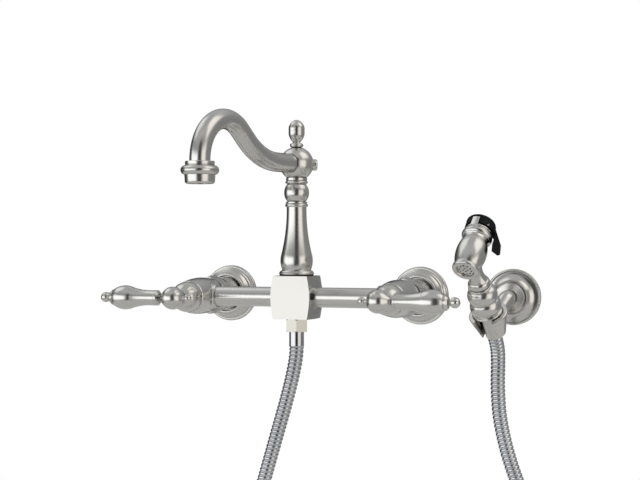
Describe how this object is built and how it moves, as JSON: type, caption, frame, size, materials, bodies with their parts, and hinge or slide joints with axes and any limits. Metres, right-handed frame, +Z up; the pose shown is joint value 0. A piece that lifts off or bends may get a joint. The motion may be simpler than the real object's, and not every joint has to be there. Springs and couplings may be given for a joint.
{
  "type": "wall-mounted bridge faucet",
  "caption": "Wall-mounted bridge kitchen faucet with a swivelling gooseneck spout, quarter-turn lever handles and a hand sprayer that hangs in a wall holder on a flexible hose.",
  "frame": {"origin": "on the wall, midway between the two supply inlets and level with them", "axes": "+X along the wall to the user's right, +Y into the wall, +Z up"},
  "size_m": [0.4427, 0.2515, 0.6958],
  "materials": {
    "satin_nickel": "satin",
    "polished_chrome": "polished",
    "brass": "machined",
    "ceramic": "lapped ceramic",
    "white_plastic": "moulded",
    "black_plastic": "gloss",
    "rubber": "matte",
    "spring_steel": "drawn"
  },
  "bodies": {
    "base": {"wall_flange_left": "satin_nickel", "inlet_shank_left": "brass", "union_nut_left": "satin_nickel", "valve_body_left": "satin_nickel", "bonnet_left": "satin_nickel", "cartridge_body_left": "brass", "fixed_disc_left": "ceramic", "bridge_tube_left": "satin_nickel", "wall_flange_right": "satin_nickel", "inlet_shank_right": "brass", "union_nut_right": "satin_nickel", "valve_body_right": "satin_nickel", "bonnet_right": "satin_nickel", "cartridge_body_right": "brass", "fixed_disc_right": "ceramic", "bridge_tube_right": "satin_nickel", "union_washers": "rubber", "centre_block": "satin_nickel", "spout_nipple": "brass", "swivel_gasket": "rubber", "diverter_spring": "spring_steel", "hose_connector": "brass", "hose_nut": "polished_chrome", "hose_ferrule": "polished_chrome", "spray_hose": "polished_chrome", "holder_flange": "satin_nickel", "holder_plate": "brass", "holder_arm": "satin_nickel", "holder_cup": "satin_nickel"},
    "spout": {"riser_column": "satin_nickel", "spout_ball": "satin_nickel", "spout_tube": "satin_nickel", "nozzle_collar": "satin_nickel", "aerator_housing": "satin_nickel", "aerator_screen": "spring_steel", "finial": "satin_nickel", "side_plug": "satin_nickel"},
    "left_handle": {"moving_disc_left": "ceramic", "spindle_left": "brass", "handle_hub_left": "satin_nickel", "handle_screw_left": "spring_steel", "lever_grip_left": "satin_nickel"},
    "right_handle": {"moving_disc_right": "ceramic", "spindle_right": "brass", "handle_hub_right": "satin_nickel", "handle_screw_right": "spring_steel", "lever_grip_right": "satin_nickel"},
    "diverter": {"diverter_piston": "white_plastic"},
    "sprayer": {"sprayer_handle": "satin_nickel", "hose_swivel": "polished_chrome", "sprayer_head": "satin_nickel", "face_ring": "satin_nickel", "spray_face": "satin_nickel", "end_cap": "satin_nickel", "lever_pin": "spring_steel", "stem_spring": "spring_steel"},
    "trigger": {"thumb_lever": "black_plastic"},
    "valve_stem": {"spray_valve_stem": "brass"}
  },
  "joints": [
    {"name": "spout_swivel", "type": "hinge", "parent": "base", "child": "spout", "pos_m": [0, -0.0762, 0], "axis": [0, 0, 1], "range_deg": [-90, 110]},
    {"name": "left_handle_turn", "type": "hinge", "parent": "base", "child": "left_handle", "pos_m": [-0.1016, -0.1377, 0], "axis": [0, -1, 0], "range_deg": [0, 90]},
    {"name": "right_handle_turn", "type": "hinge", "parent": "base", "child": "right_handle", "pos_m": [0.1016, -0.1377, 0], "axis": [0, 1, 0], "range_deg": [0, 90]},
    {"name": "sprayer_lift", "type": "slide", "parent": "base", "child": "sprayer", "axis": [-0.0941, -0.5944, 0.7986], "range_m": [0, 0.08]},
    {"name": "trigger_press", "type": "hinge", "parent": "sprayer", "child": "trigger", "pos_m": [0.18835, -0.08263, 0.06213], "axis": [-0.2286, 0.7432, -0.6288], "range_deg": [0, 8], "stiffness_Nm_per_rad": 0.5, "springref_deg": -4.58},
    {"name": "stem_lift", "type": "slide", "parent": "sprayer", "child": "valve_stem", "axis": [0.1047, 0.6609, 0.7431], "range_m": [0, 0.0011]},
    {"name": "diverter_lift", "type": "slide", "parent": "base", "child": "diverter", "axis": [0, 0, 1], "range_m": [0, 0.0031], "deforming": ["diverter_spring"]}
  ],
  "couplings": [
    {"joint": "stem_lift", "follows": "trigger_press", "m_per_rad": 0.0075},
    {"joint": "diverter_lift", "follows": "trigger_press", "m_per_rad": 0.0215}
  ]
}
